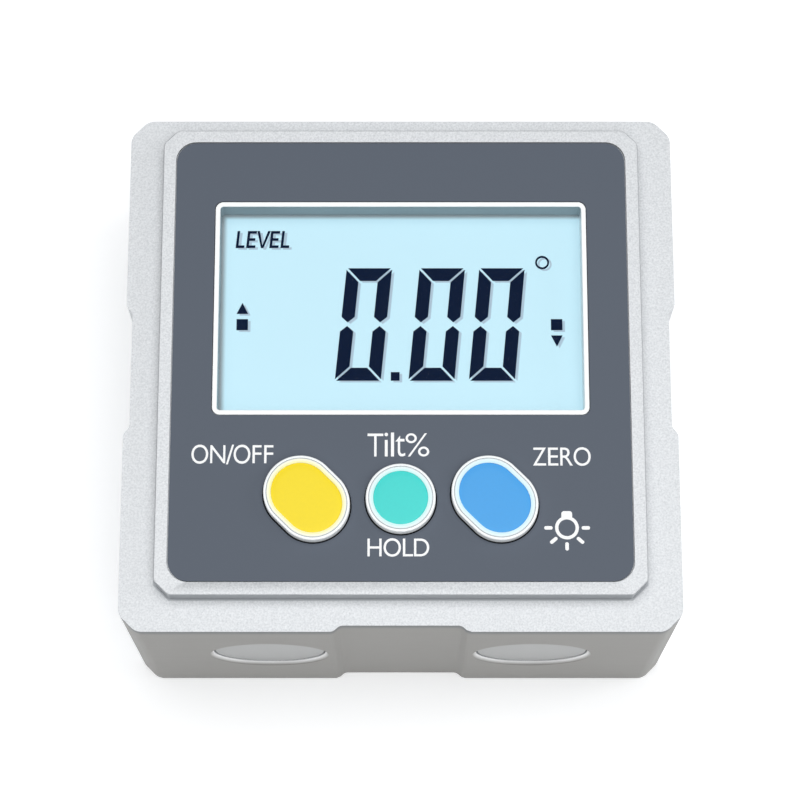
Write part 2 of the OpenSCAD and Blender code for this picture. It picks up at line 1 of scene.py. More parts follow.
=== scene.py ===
"""Looks of a digital angle gauge: cast body, printed front, lit display, buttons, magnets, back and stage."""

import math

import bmesh
import bpy
from bpy.props import FloatProperty, FloatVectorProperty, PointerProperty
from mathutils import Matrix, Vector


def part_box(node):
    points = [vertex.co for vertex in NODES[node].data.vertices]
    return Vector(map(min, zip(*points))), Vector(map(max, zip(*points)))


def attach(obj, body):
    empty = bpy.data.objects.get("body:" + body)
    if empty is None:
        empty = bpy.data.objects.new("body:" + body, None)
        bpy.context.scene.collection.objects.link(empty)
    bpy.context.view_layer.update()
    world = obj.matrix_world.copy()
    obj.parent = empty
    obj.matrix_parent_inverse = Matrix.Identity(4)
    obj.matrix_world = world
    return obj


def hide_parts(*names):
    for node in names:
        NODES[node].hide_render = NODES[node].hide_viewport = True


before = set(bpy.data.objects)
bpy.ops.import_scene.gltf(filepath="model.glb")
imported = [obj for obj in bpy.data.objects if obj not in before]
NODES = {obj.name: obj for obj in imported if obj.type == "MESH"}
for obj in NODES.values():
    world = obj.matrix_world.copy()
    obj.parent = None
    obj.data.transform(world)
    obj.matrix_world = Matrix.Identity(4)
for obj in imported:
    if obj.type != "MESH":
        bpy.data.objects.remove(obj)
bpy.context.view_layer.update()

bl_info = {
    "name": "Angle gauge looks",
    "version": (1, 0, 0),
    "blender": (4, 5, 0),
    "location": "View3D > Sidebar > Gauge",
    "description": "Gives the packed angle gauge its finishes, round edges, printed marks and studio",
    "category": "Object",
}

MM = 0.001

# Levels and middles that the frame gives, in metres
OVERLAY_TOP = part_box("front_overlay")[1].z
DISPLAY_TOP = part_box("lcd_glass")[1].z
WINDOW_LOW, WINDOW_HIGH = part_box("display_lens")
PANEL_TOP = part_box("housing")[1].z
BODY_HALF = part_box("housing")[1].xy
BACK_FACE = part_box("back_cover")[0].z

# Rim that the raised panel stands on, and leg of the cut across each corner of the panel
RIM_TOP = PANEL_TOP - 2 * MM
PANEL_CUT = 1.4 * MM

# Distance at which points are the same, and the turns of a flat face, of a smooth edge and of a corner
SAME_POINT = 0.001 * MM
FLAT_TURN, SMOOTH_TURN, CORNER_TURN = (math.radians(a) for a in (0.5, 32, 28))

# The photograph's view, as a distance, an angle off the display's normal and a lens
FRAME_PIXELS = 800
FOCAL_PIXELS = 2659.07
SENSOR_MM = 36.0
MIDDLE_PIXEL = 400.7
VIEW_ANGLE = math.radians(15.6895)
CAMERA_PLACE = Vector((0, -73.22, 275.76)) * MM


def linear(hex_value):
    """An sRGB hex colour as linear red, green and blue with a full alpha."""
    parts = [int(hex_value[i:i + 2], 16) / 255 for i in (1, 3, 5)]
    return tuple(c / 12.92 if c <= 0.04045 else ((c + 0.055) / 1.055) ** 2.4 for c in parts) + (1.0,)


def tint(name, hex_value, description):
    """A colour that the panel shows."""
    return FloatVectorProperty(
        name=name, description=description, subtype="COLOR", size=4, min=0, max=1, default=linear(hex_value))


def length(name, millimetres, description):
    """A length that the panel shows."""
    return FloatProperty(
        name=name, description=description, unit="LENGTH", precision=5, min=0, default=millimetres * MM)


class GaugeSizes(bpy.types.PropertyGroup):
    """Sizes of the small shapes that the looks add to the solids."""

    body_round: length("Body round", 0.18, "Radius of the casting's rim and base edges")
    corner_round: length("Corner round", 0.55, "Radius of the casting's upright corner edges")
    ramp_round: length("Ramp round", 0.26, "Reach of the round at each end of a recess's ramps")
    panel_corner: length("Panel corner", 0.3, "Radius of the raised panel's upright corner edges")
    panel_round: length("Panel round", 0.12, "Radius of the raised panel's edges")
    pocket_round: length("Pocket round", 0.05, "Radius of the edges at a magnet's pocket")
    lip_round: length("Lip round", 0.08, "Radius of the white lip's edges")
    cap_round: length("Cap round", 0.13, "Radius of a button cap's upper edge")
    cap_land: length("Cap land", 0.23, "Width of the smooth band along a cap's edge")
    cap_groove: length("Cap groove", 0.05, "Depth and half width of the fine groove in a cap")
    cap_rim: length("Cap rim", 0.72, "Width of a cap's white rim")
    cap_ledge: length("Cap ledge", 0.5, "Width of the ledge that keeps a cap in the body")
    face_dome: length("Face dome", 0.07, "Height of the dome of a button's coloured face")
    face_round: length("Face round", 0.05, "Radius of the edge of a button's coloured face")
    magnet_slip: length("Magnet slip", 0.1, "Extra gap that shows round a magnet")
    magnet_round: length("Magnet round", 0.05, "Radius of a magnet's edge")
    cover_round: length("Cover round", 0.15, "Radius of the back cover's and the door's edges")
    screw_round: length("Screw round", 0.22, "Radius of a screw head's edge")
    print_height: length("Print height", 0.02, "Thickness of the printed marks")
    shadow_right: length("Shadow right", 0.26, "Shift of the figures' shadows to the right")
    shadow_down: length("Shadow down", 0.17, "Shift of the figures' shadows downwards")


class GaugeColours(bpy.types.PropertyGroup):
    """Colours of the gauge's finishes."""

    metal_dark: tint("Metal, dark grain", "#a2a6aa", "Low spots of the blasted casting")
    metal_light: tint("Metal, light grain", "#f8fafc", "High spots of the blasted casting")
    # Painted shade along the foot of the raised panel
    crease: tint("Crease", "#aaaeb2", "Line along the foot of the raised panel")
    # Painted shade under the rim, at the top of the base
    base_shade: tint("Base shade", "#53595b", "Line under the rim, where the base meets the casting")
    # Ground base: a warmer finish than the casting, darker also as painted shade of the faces turned away from the
    # lights
    base: tint("Ground base", "#83817d", "Ground faces of the magnetic base")
    film: tint("Overlay film", "#58606c", "Grey of the printed overlay")
    white: tint("White moulding", "#fbfdfd", "White of the lip round the window")
    cap: tint("Cap", "#f3f6f7", "White of the buttons' caps")
    cap_groove: tint("Cap groove", "#c3c9cc", "Fine groove in a cap, which gathers shade")
    cap_shade: tint("Cap in its hole", "#3a3f47", "Foot of a cap, in the shade of its hole")
    lip_shade: tint("Lip wall", "#9caab0", "Inner wall of the lip, which stays in shade")
    display: tint("Display", "#7c9aa5", "Ground of the display without its light")
    display_glow: tint("Display glow", "#b1d4e0", "Light of the display's ground")
    figures: tint("Figures", "#001433", "Dark figures of the display")
    figure_shadow: tint("Figure shadow", "#9fb6c6", "Shadow that the figures cast on the display's ground")
    print_white: tint("Print", "#fbfcfc", "White print on the overlay")
    yellow: tint("Yellow face", "#f9df1c", "Face of the left button")
    green: tint("Green face", "#42dad2", "Face of the middle button")
    blue: tint("Blue face", "#47a5ea", "Face of the right button")
    cover: tint("Cover", "#2c2f33", "Back cover and battery door")


def add(tree, kind, inputs=None, **settings):
    """Adds a node with its settings, and gives each named input a value or a link."""
    node = tree.nodes.new(kind)
    for name, value in settings.items():
        setattr(node, name, value)
    for name, value in (inputs or {}).items():
        socket = node.inputs[name]
        if isinstance(value, bpy.types.NodeSocket):
            tree.links.new(value, socket)
        else:
            socket.default_value = value
    return node


def grained(name, dark, light, roughness, grain, relief, spread=0.06, stretch=(1, 1, 1), **shader):
    """A material whose fine grain moves its colour, gloss and relief.

    Grain and relief are in millimetres. A stretch below one draws the grain out along that axis."""
    material = bpy.data.materials.new(name)
    material.use_nodes = True
    tree = material.node_tree
    tree.nodes.clear()
    place = add(tree, "ShaderNodeTexCoord")
    spaced = add(tree, "ShaderNodeVectorMath", {
        0: place.outputs["Object"], 1: tuple(s / (grain * MM) for s in stretch)}, operation="MULTIPLY")
    noise = add(tree, "ShaderNodeTexNoise", {
        "Vector": spaced.outputs[0], "Scale": 1.0, "Detail": 3.0, "Roughness": 0.65})
    tone = add(tree, "ShaderNodeMix", {0: noise.outputs[0], 6: tuple(dark), 7: tuple(light)}, data_type="RGBA")
    gloss = add(tree, "ShaderNodeMapRange", {
        "Value": noise.outputs[0], "To Min": roughness - spread, "To Max": roughness + spread})
    bump = add(tree, "ShaderNodeBump", {"Height": noise.outputs[0], "Strength": 0.6, "Distance": relief * MM})
    surface = add(tree, "ShaderNodeBsdfPrincipled", {
        "Base Color": tone.outputs[2], "Roughness": gloss.outputs[0], "Normal": bump.outputs[0]})
    for socket, value in shader.items():
        surface.inputs[socket.replace("_", " ")].default_value = value
    add(tree, "ShaderNodeOutputMaterial", {"Surface": surface.outputs[0]})
    return material


def veil(material, clear, colour):
    """Lays a second colour over a material wherever clear, a socket, falls from one to zero."""
    tree = material.node_tree
    surface = tree.nodes["Principled BSDF"]
    tone = surface.inputs["Base Color"].links[0].from_socket
    mixed = add(tree, "ShaderNodeMix", {0: clear, 6: tuple(colour), 7: tone}, data_type="RGBA")
    tree.links.new(mixed.outputs[2], surface.inputs["Base Color"])


def object_place(material):
    """The socket with a material's object coordinates."""
    return material.node_tree.nodes["Texture Coordinate"].outputs["Object"]


def moulded(name, hex_or_colour, roughness, grain, relief, contrast, **shader):
    """A material of one colour, with a faint even grain that moves the colour by a share, its contrast."""
    colour = linear(hex_or_colour) if isinstance(hex_or_colour, str) else tuple(hex_or_colour)
    dark = [c * (1 - contrast) for c in colour[:3]] + [1.0]
    light = [min(1.0, c * (1 + contrast)) for c in colour[:3]] + [1.0]
    return grained(name, dark, light, roughness, grain, relief, **shader)


def plated(name, hex_value, roughness):
    """Plated or machined metal with fine marks in its shine."""
    return moulded(name, hex_value, roughness, 0.12, 0.002, 0.12, Metallic=1.0)


def node_copy(node):
    """A CAD node's mesh with its triangles merged into whole flat faces."""
    bm = bmesh.new()
    bm.from_mesh(NODES[node].data)
    bmesh.ops.remove_doubles(bm, verts=bm.verts, dist=SAME_POINT)
    bmesh.ops.dissolve_limit(bm, angle_limit=FLAT_TURN, verts=bm.verts, edges=bm.edges)
    return bm


def round_edges(bm, edges, radius, segments=3):
    """Rounds the given edges."""
    bmesh.ops.bevel(
        bm, geom=edges, offset=radius, affect="EDGES", segments=segments, profile=0.5, material=-1, clamp_overlap=True)


def middle_of(edge):
    """The point halfway along an edge."""
    return (edge.verts[0].co + edge.verts[1].co) / 2


def turns(edge):
    """Whether an edge is sharp enough for a corner."""
    return edge.is_manifold and edge.calc_face_angle() > CORNER_TURN


def corners(bm, test):
    """Sharp outward edges whose middle passes a test."""
    return [e for e in bm.edges if turns(e) and e.is_convex and test(middle_of(e))]


def piece(name, bm, body, materials, nodes=(), even=True):
    """Makes an object of a mesh with its materials, hangs it on the body it rides on, and hides the CAD nodes that it
    stands for.
    """
    mesh = bpy.data.meshes.new(name)
    bm.to_mesh(mesh)
    bm.free()
    for material in materials:
        mesh.materials.append(material)
    mesh.shade_smooth()
    mesh.set_sharp_from_angle(angle=SMOOTH_TURN)
    obj = bpy.data.objects.new(name, mesh)
    bpy.context.scene.collection.objects.link(obj)
    if even:
        weights = obj.modifiers.new("even_normals", "WEIGHTED_NORMAL")
        weights.keep_sharp = True
    if nodes:
        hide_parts(*nodes)
    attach(obj, body)


def dress(material, *nodes):
    """Gives CAD nodes that stay in view a better material."""
    for node in nodes:
        slots = NODES[node].data.materials
        slots.clear()
        slots.append(material)


def lift(bm, face, height, keep=False):
    """Extrudes a face along Z and returns the moved face. The old one stays only as the floor of a new solid."""
    made = bmesh.ops.extrude_face_region(bm, geom=[face])["geom"]
    bmesh.ops.translate(bm, verts=[v for v in made if isinstance(v, bmesh.types.BMVert)], vec=(0, 0, height))
    if not keep:
        bmesh.ops.delete(bm, geom=[face], context="FACES_ONLY")
    return next(f for f in made if isinstance(f, bmesh.types.BMFace))


def shrink(bm, face, width, height=0.0):
    """Insets a face, moves its middle along Z and returns that middle."""
    bmesh.ops.inset_region(bm, faces=[face], thickness=width, use_even_offset=True, use_boundary=True)
    bmesh.ops.translate(bm, verts=face.verts, vec=(0, 0, height))
    return face


def oval_face(bm, radius, stretch, turn, place, segments=96):
    """A flat oval face: a circle drawn out by stretch and turned."""
    verts = bmesh.ops.create_circle(bm, cap_ends=True, segments=segments, radius=radius)["verts"]
    for side in (-1, 1):
        half = [v for v in verts if v.co.x * side > 1e-9]
        bmesh.ops.translate(bm, verts=half, vec=(side * stretch / 2, 0, 0))
    bmesh.ops.rotate(bm, verts=verts, matrix=Matrix.Rotation(turn, 3, "Z"))
    bmesh.ops.translate(bm, verts=verts, vec=place)
    return next(iter(set.intersection(*(set(v.link_faces) for v in verts))))


def sizes():
    """The scene's sizes of the added shapes."""
    return bpy.context.scene.gauge_sizes


def colours():
    """The scene's colours of the finishes."""
    return bpy.context.scene.gauge_colours


class GAUGE_OT_housing(bpy.types.Operator):
    """Casts the body with round edges and a blasted finish"""

    bl_idname = "gauge.housing"
    bl_label = "Housing"

    # Slack of the tests that find an edge by its place
    SLACK = 0.1 * MM
    # Depth of the skin in which an edge counts as one of the body's outside, or of the panel's
    BODY_SKIN, PANEL_SKIN = 0.8 * MM, 0.3 * MM
    # Height over the rim from which an edge counts as the panel's
    PANEL_FROM = 0.5 * MM
    # Distance that the middle of an upright corner edge keeps from the body's back and rim
    UPRIGHT_FROM = 1 * MM
    # Reach of a cut corner from the body's outside, and of a recess's ramps from the middle of their side
    CORNER_REACH, RAMP_REACH = 2.2 * MM, 8 * MM
    # Shortest upright edge that counts as the end of a ramp
    RAMP_LENGTH = 10 * MM
    # Depth of a pocket's edge that carries the painted highlight, its reach past the magnet, and the ring in which the
    # body's round stays off it
    POCKET_DEPTH, POCKET_REACH, POCKET_RING = 0.45 * MM, 0.5 * MM, 0.7 * MM
    # Heights over the foot between which a pocket's edge goes from the base's grey to its painted white highlight
    POCKET_HIGHLIGHT_FADE = (0.02 * MM, 0.3 * MM)
    # Depths below the rim between which the painted shade at the top of the base fades out
    SHADE_FADE = (0.5 * MM, 1.6 * MM)
    # Distance of the painted crease shade from the panel, and half the width of its line without and with its soft
    # edges
    CREASE_PLACE, CREASE_LINE, CREASE_SOFT = 0.05 * MM, 0.06 * MM, 0.14 * MM
    # Parts of a face's normal: flat on the base, turned to the base, turned to the front, folded over
    FLAT_ON_BASE, TO_BASE, TO_FRONT, FOLDED = -0.95, -0.3, 0.6, -0.9

    def execute(self, context):
        size = sizes()
        bm = node_copy("housing")
        middle, half = self.panel_plan(bm)
        magnets = [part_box(n) for n in ("left_magnet", "right_magnet")]
        foot = -BODY_HALF.y

        def past_panel(p):
            """Distances past the panel's sides and past the cuts across its corners."""
            x, y = abs(p.x - middle.x) - half.x, abs(p.y - middle.y) - half.y
            return max(x, y), x + y + PANEL_CUT

        def on_panel(p):
            return max(past_panel(p)) > -self.PANEL_SKIN and p.z > RIM_TOP + self.PANEL_FROM

        def at_panel_corner(p):
            return past_panel(p)[1] > -self.SLACK and RIM_TOP + self.SLACK < p.z < PANEL_TOP - self.SLACK

        def from_pocket(p):
            """Distance from the edge of the nearest magnet, along the base."""
            return min(math.hypot(p.x - (a.x + b.x) / 2, p.z - (a.z + b.z) / 2) - (b.x - a.x) / 2 for a, b in magnets)

        def at_pocket(p):
            return p.y < foot + self.POCKET_DEPTH and from_pocket(p) < self.POCKET_REACH

        def on_cut(p):
            return abs(p.x) + abs(p.y) > BODY_HALF.x + BODY_HALF.y - self.CORNER_REACH

        def at_corner(p):
            return on_cut(p) and self.UPRIGHT_FROM < p.z < RIM_TOP - self.UPRIGHT_FROM

        def on_body(p):
            outside = abs(p.x) > BODY_HALF.x - self.BODY_SKIN or abs(p.y) > BODY_HALF.y - self.BODY_SKIN
            near = p.y < 0 and from_pocket(p) < self.POCKET_RING
            return (outside or on_cut(p)) and not near and p.z < RIM_TOP + self.SLACK

        def on_ramp(edge):
            p = middle_of(edge)
            in_base = abs(p.x) < self.RAMP_REACH and p.y < foot + self.BODY_SKIN
            in_side = abs(p.y) < self.RAMP_REACH and abs(p.x) > BODY_HALF.x - self.BODY_SKIN
            return (in_base or in_side) and abs(edge.verts[0].co.z - edge.verts[1].co.z) > self.RAMP_LENGTH

        round_edges(bm, [e for e in bm.edges if turns(e) and on_ramp(e)], size.ramp_round, 4)
        round_edges(bm, corners(bm, at_corner), size.corner_round, 5)
        round_edges(bm, corners(bm, at_panel_corner), size.panel_corner, 4)
        self.unfold_rim(bm)
        for test, radius in ((on_panel, size.panel_round), (at_pocket, size.pocket_round), (on_body, size.body_round)):
            round_edges(bm, corners(bm, test), radius)
        bm.normal_update()
        for face in bm.faces:
            p, normal = face.calc_center_median(), face.normal
            on_base = p.y < foot + self.CORNER_REACH and p.z < RIM_TOP
            if at_pocket(p) and self.FLAT_ON_BASE < normal.y < self.TO_BASE:
                face.material_index = 2
            elif on_base and normal.y < self.TO_BASE and normal.z < self.TO_FRONT:
                face.material_index = 1
        piece("cast_housing", bm, "gauge", self.finishes(middle, half), ["housing"])
        return {"FINISHED"}

    @staticmethod
    def panel_plan(bm):
        """Middle and half size of the raised panel."""
        top = [v.co.xy for v in bm.verts if v.co.z > PANEL_TOP - SAME_POINT]
        low, high = Vector(map(min, zip(*top))), Vector(map(max, zip(*top)))
        return (low + high) / 2, (high - low) / 2

    def unfold_rim(self, bm):
        """Merges the slivers that the panel's round corners fold over on the rim into the rim's own faces."""
        bm.normal_update()
        folded = [f for f in bm.faces if f.normal.z < self.FOLDED
                  and all(abs(v.co.z - RIM_TOP) < SAME_POINT for v in f.verts)]
        merged = set(folded)
        for face in folded:
            merged.update(max(face.edges, key=lambda e: e.calc_length()).link_faces)
        bmesh.ops.dissolve_faces(bm, faces=list(merged))

    def finishes(self, middle, half):
        """The materials of the casting, of its ground base darkened as painted shade and of the pockets' edges with a
        painted highlight.
        """
        colour = colours()
        # Blasted aluminium casting under a clear satin lacquer: an even pale silver with a fine sparkle.
        # Its grain doesn't divide the body's sizes, so that no face lies on the noise's own grid and looks smoother
        metal = grained(
            "blasted_cast_aluminium", colour.metal_dark, colour.metal_light, 0.5, 0.1815, 0.02,
            spread=0.1, Metallic=0.3)
        self.paint_crease_shade(metal, middle, half)
        # Ground aluminium of the measuring base: a warmer grey than the casting, with fine lines along the base, and
        # darker than the casting also as painted shade of the faces that turn away from the lights
        ground = moulded(
            "ground_aluminium_base_darkened_as_painted_shade", colour.base, 0.42, 0.11, 0.004, 0.14,
            spread=0.1, stretch=(0.03, 1, 1), Metallic=0.3)
        # Painted shade under the rim, fading out down the base
        self.fade(ground, "Z", (RIM_TOP - d for d in self.SHADE_FADE), colour.base_shade)
        # Painted highlight on the edge of the magnet pockets: a white line in place of the light that the edge catches,
        # dulling to the base's grey towards the ground face
        turned = moulded("pocket_edge_painted_highlight", "#ffffff", 0.35, 0.12, 0.002, 0.08, Metallic=0.2)
        self.fade(turned, "Y", (h - BODY_HALF.y for h in self.POCKET_HIGHLIGHT_FADE), colour.base)
        return [metal, ground, turned]

    @staticmethod
    def fade(material, axis, levels, colour):
        """Lays a colour over a material that fades out from the first level along an axis to the second."""
        start, end = levels
        along = add(material.node_tree, "ShaderNodeSeparateXYZ", {0: object_place(material)}).outputs[axis]
        clear = add(material.node_tree, "ShaderNodeMapRange", {"Value": along, "From Min": start, "From Max": end})
        veil(material, clear.outputs[0], colour)

    def paint_crease_shade(self, material, middle, half):
        """Paints the fine dark line of shade along the foot of the raised panel."""
        tree, place = material.node_tree, object_place(material)
        for operation, value in (("SUBTRACT", middle), ("ABSOLUTE", None), ("SUBTRACT", half)):
            inputs = {0: place} if value is None else {0: place, 1: (*value, 0)}
            place = add(tree, "ShaderNodeVectorMath", inputs, operation=operation).outputs[0]
        x, y = add(tree, "ShaderNodeSeparateXYZ", {0: place}).outputs[:2]

        def math_node(operation, *values):
            return add(tree, "ShaderNodeMath", dict(enumerate(values)), operation=operation).outputs[0]

        across = math_node("ADD", math_node("ADD", x, y), PANEL_CUT)
        across = math_node("MULTIPLY", across, math.sqrt(0.5))
        away = math_node("MAXIMUM", math_node("MAXIMUM", x, y), across)
        away = math_node("ABSOLUTE", math_node("SUBTRACT", away, self.CREASE_PLACE))
        clear = add(tree, "ShaderNodeMapRange", {
            "Value": away, "From Min": self.CREASE_LINE, "From Max": self.CREASE_SOFT})
        veil(material, clear.outputs[0], colours().crease)


class GAUGE_OT_overlay(bpy.types.Operator):
    """Gives the overlay its satin film"""

    bl_idname = "gauge.overlay"
    bl_label = "Overlay"

    def execute(self, context):
        # Polycarbonate film printed grey on its back: an even satin face with hardly any texture
        dress(moulded("printed_polycarbonate_film", colours().film, 0.45, 0.15, 0.002, 0.03, Specular_IOR_Level=0.2),
              "front_overlay")
        return {"FINISHED"}


class GAUGE_OT_labels(bpy.types.Operator):
    """Prints the function words beside the buttons"""

    bl_idname = "gauge.labels"
    bl_label = "Labels"

    # Change of the strokes' weight, in letter heights, which is lighter for letters above a height in millimetres
    PLAIN, THIN, LARGE = -0.002, -0.007, 2.0
    # Half thickness in which a letter is set before it is fitted to its box
    HALF_THICKNESS = 0.01
    # Each letter with its left, right, lower and upper edge in millimetres
    LETTERS = (
        ("O", -20.14, -18.53, -9.98, -8.09), ("N", -18.33, -16.88, -9.93, -8.14), ("/", -16.81, -16.05, -10.04, -8.09),
        ("O", -16.08, -14.47, -9.98, -8.09), ("F", -14.26, -13.40, -9.93, -8.14), ("F", -13.14, -12.26, -9.93, -8.14),
        ("T", -3.20, -1.68, -9.26, -6.98), ("i", -1.56, -1.22, -9.26, -6.90), ("l", -0.94, -0.64, -9.26, -6.88),
        ("t", -0.51, 0.44, -9.26, -7.18), ("%", 0.47, 2.75, -9.26, -6.95),
        ("H", -3.17, -1.82, -19.08, -17.35), ("O", -1.63, 0.02, -19.11, -17.32), ("L", 0.21, 1.18, -19.08, -17.35),
        ("D", 1.27, 2.72, -19.08, -17.35),
        ("Z", 12.72, 13.99, -10.16, -8.38), ("E", 14.18, 15.16, -10.16, -8.38), ("R", 15.35, 16.55, -10.16, -8.38),
        ("O", 16.64, 18.28, -10.19, -8.34),
    )

    def execute(self, context):
        bm = bmesh.new()
        for letter, left, right, low, high in self.LETTERS:
            mesh = self.set_in_type(letter, self.THIN if high - low > self.LARGE else self.PLAIN)
            start = Vector(map(min, zip(*(v.co for v in mesh.vertices))))
            end = Vector(map(max, zip(*(v.co for v in mesh.vertices))))
            to_low = Vector((left * MM, low * MM, OVERLAY_TOP))
            to_high = Vector((right * MM, high * MM, OVERLAY_TOP + sizes().print_height))
            ratio = [(b - a) / (d - c) for a, b, c, d in zip(to_low, to_high, start, end)]
            mesh.transform(Matrix.Translation(to_low) @ Matrix.Diagonal((*ratio, 1)) @ Matrix.Translation(-start))
            bm.from_mesh(mesh)
            bpy.data.meshes.remove(mesh)
        bmesh.ops.remove_doubles(bm, verts=bm.verts, dist=SAME_POINT / 2)
        bmesh.ops.dissolve_degenerate(bm, edges=bm.edges, dist=SAME_POINT)
        piece("printed_labels", bm, "gauge", [print_ink()], even=False)
        return {"FINISHED"}

    def set_in_type(self, letter, weight):
        """A letter as a thin flat mesh at the origin."""
        curve = bpy.data.curves.new("letter", "FONT")
        curve.body = letter
        curve.extrude = self.HALF_THICKNESS
        curve.offset = weight
        holder = bpy.data.objects.new("letter", curve)
        bpy.context.scene.collection.objects.link(holder)
        evaluated = holder.evaluated_get(bpy.context.evaluated_depsgraph_get())
        mesh = bpy.data.meshes.new_from_object(evaluated)
        bpy.data.objects.remove(holder)
        bpy.data.curves.remove(curve)
        return mesh


def print_ink():
    """White screen ink: flat and opaque, with a faint tooth."""
    found = bpy.data.materials.get("white_screen_ink")
    return found or moulded("white_screen_ink", colours().print_white, 0.5, 0.1, 0.001, 0.02)


class GAUGE_OT_lamp_symbol(bpy.types.Operator):
    """Prints the lamp symbol of the display light"""

    bl_idname = "gauge.lamp_symbol"
    bl_label = "Lamp symbol"

    # Middle, outer radius and line width of the lamp's ring, in millimetres as all sizes of the symbol
    MIDDLE, RING, LINE = (15.88, -16.29), 1.14, 0.32
    # Half width, top and corner radius of the lamp's socket, which grows out of the ring
    SOCKET_HALF, SOCKET_TOP, SOCKET_ROUND = 0.53, -14.66, 0.25
    # Width of the rays, and each ray as the two ends of its line
    RAY_WIDTH = 0.35
    RAYS = (
        ((13.88, -16.30), (14.34, -16.30)), ((17.45, -16.30), (17.91, -16.30)),
        ((14.41, -17.69), (14.80, -17.36)), ((16.96, -17.36), (17.34, -17.69)),
        ((15.86, -18.34), (15.86, -17.88)),
    )

    def execute(self, context):
        bm = bmesh.new()
        middle = Vector(self.MIDDLE) * MM
        ring = oval_face(bm, self.RING * MM, 0, 0, (*middle, OVERLAY_TOP), 40)
        bmesh.ops.delete(bm, geom=[shrink(bm, ring, self.LINE * MM)], context="FACES")
        self.socket(bm, middle)
        for start, end in self.RAYS:
            start, end = Vector(start) * MM, Vector(end) * MM
            line, place = end - start, (*((start + end) / 2), OVERLAY_TOP)
            oval_face(bm, self.RAY_WIDTH / 2 * MM, line.length, math.atan2(line.y, line.x), place, 24)
        raised = bmesh.ops.extrude_face_region(bm, geom=bm.faces[:])["geom"]
        raised = [v for v in raised if isinstance(v, bmesh.types.BMVert)]
        bmesh.ops.translate(bm, verts=raised, vec=(0, 0, sizes().print_height))
        bmesh.ops.recalc_face_normals(bm, faces=bm.faces)
        piece("printed_lamp", bm, "gauge", [print_ink()], even=False)
        return {"FINISHED"}

    def socket(self, bm, middle):
        """Grows the lamp's socket out of the upper arc of the ring."""

        def on_arc(v):
            away = v.co.xy - middle
            return away.y > 0 and abs(away.x) < self.SOCKET_HALF * MM and away.length > (self.RING - self.LINE / 2) * MM

        arc = sorted(filter(on_arc, bm.verts), key=lambda v: v.co.x)
        edges = [e for e in bm.edges if all(v in arc for v in e.verts)]
        sides = bmesh.ops.extrude_vert_indiv(bm, verts=[arc[0], arc[-1]])
        for tip in sides["verts"]:
            tip.co.y = self.SOCKET_TOP * MM
        top = bmesh.ops.contextual_create(bm, geom=sides["verts"])["edges"]
        bmesh.ops.contextual_create(bm, geom=edges + sides["edges"] + top)
        bmesh.ops.bevel(
            bm, geom=sides["verts"], offset=self.SOCKET_ROUND * MM, affect="VERTICES", segments=4, profile=0.5,
            material=-1)


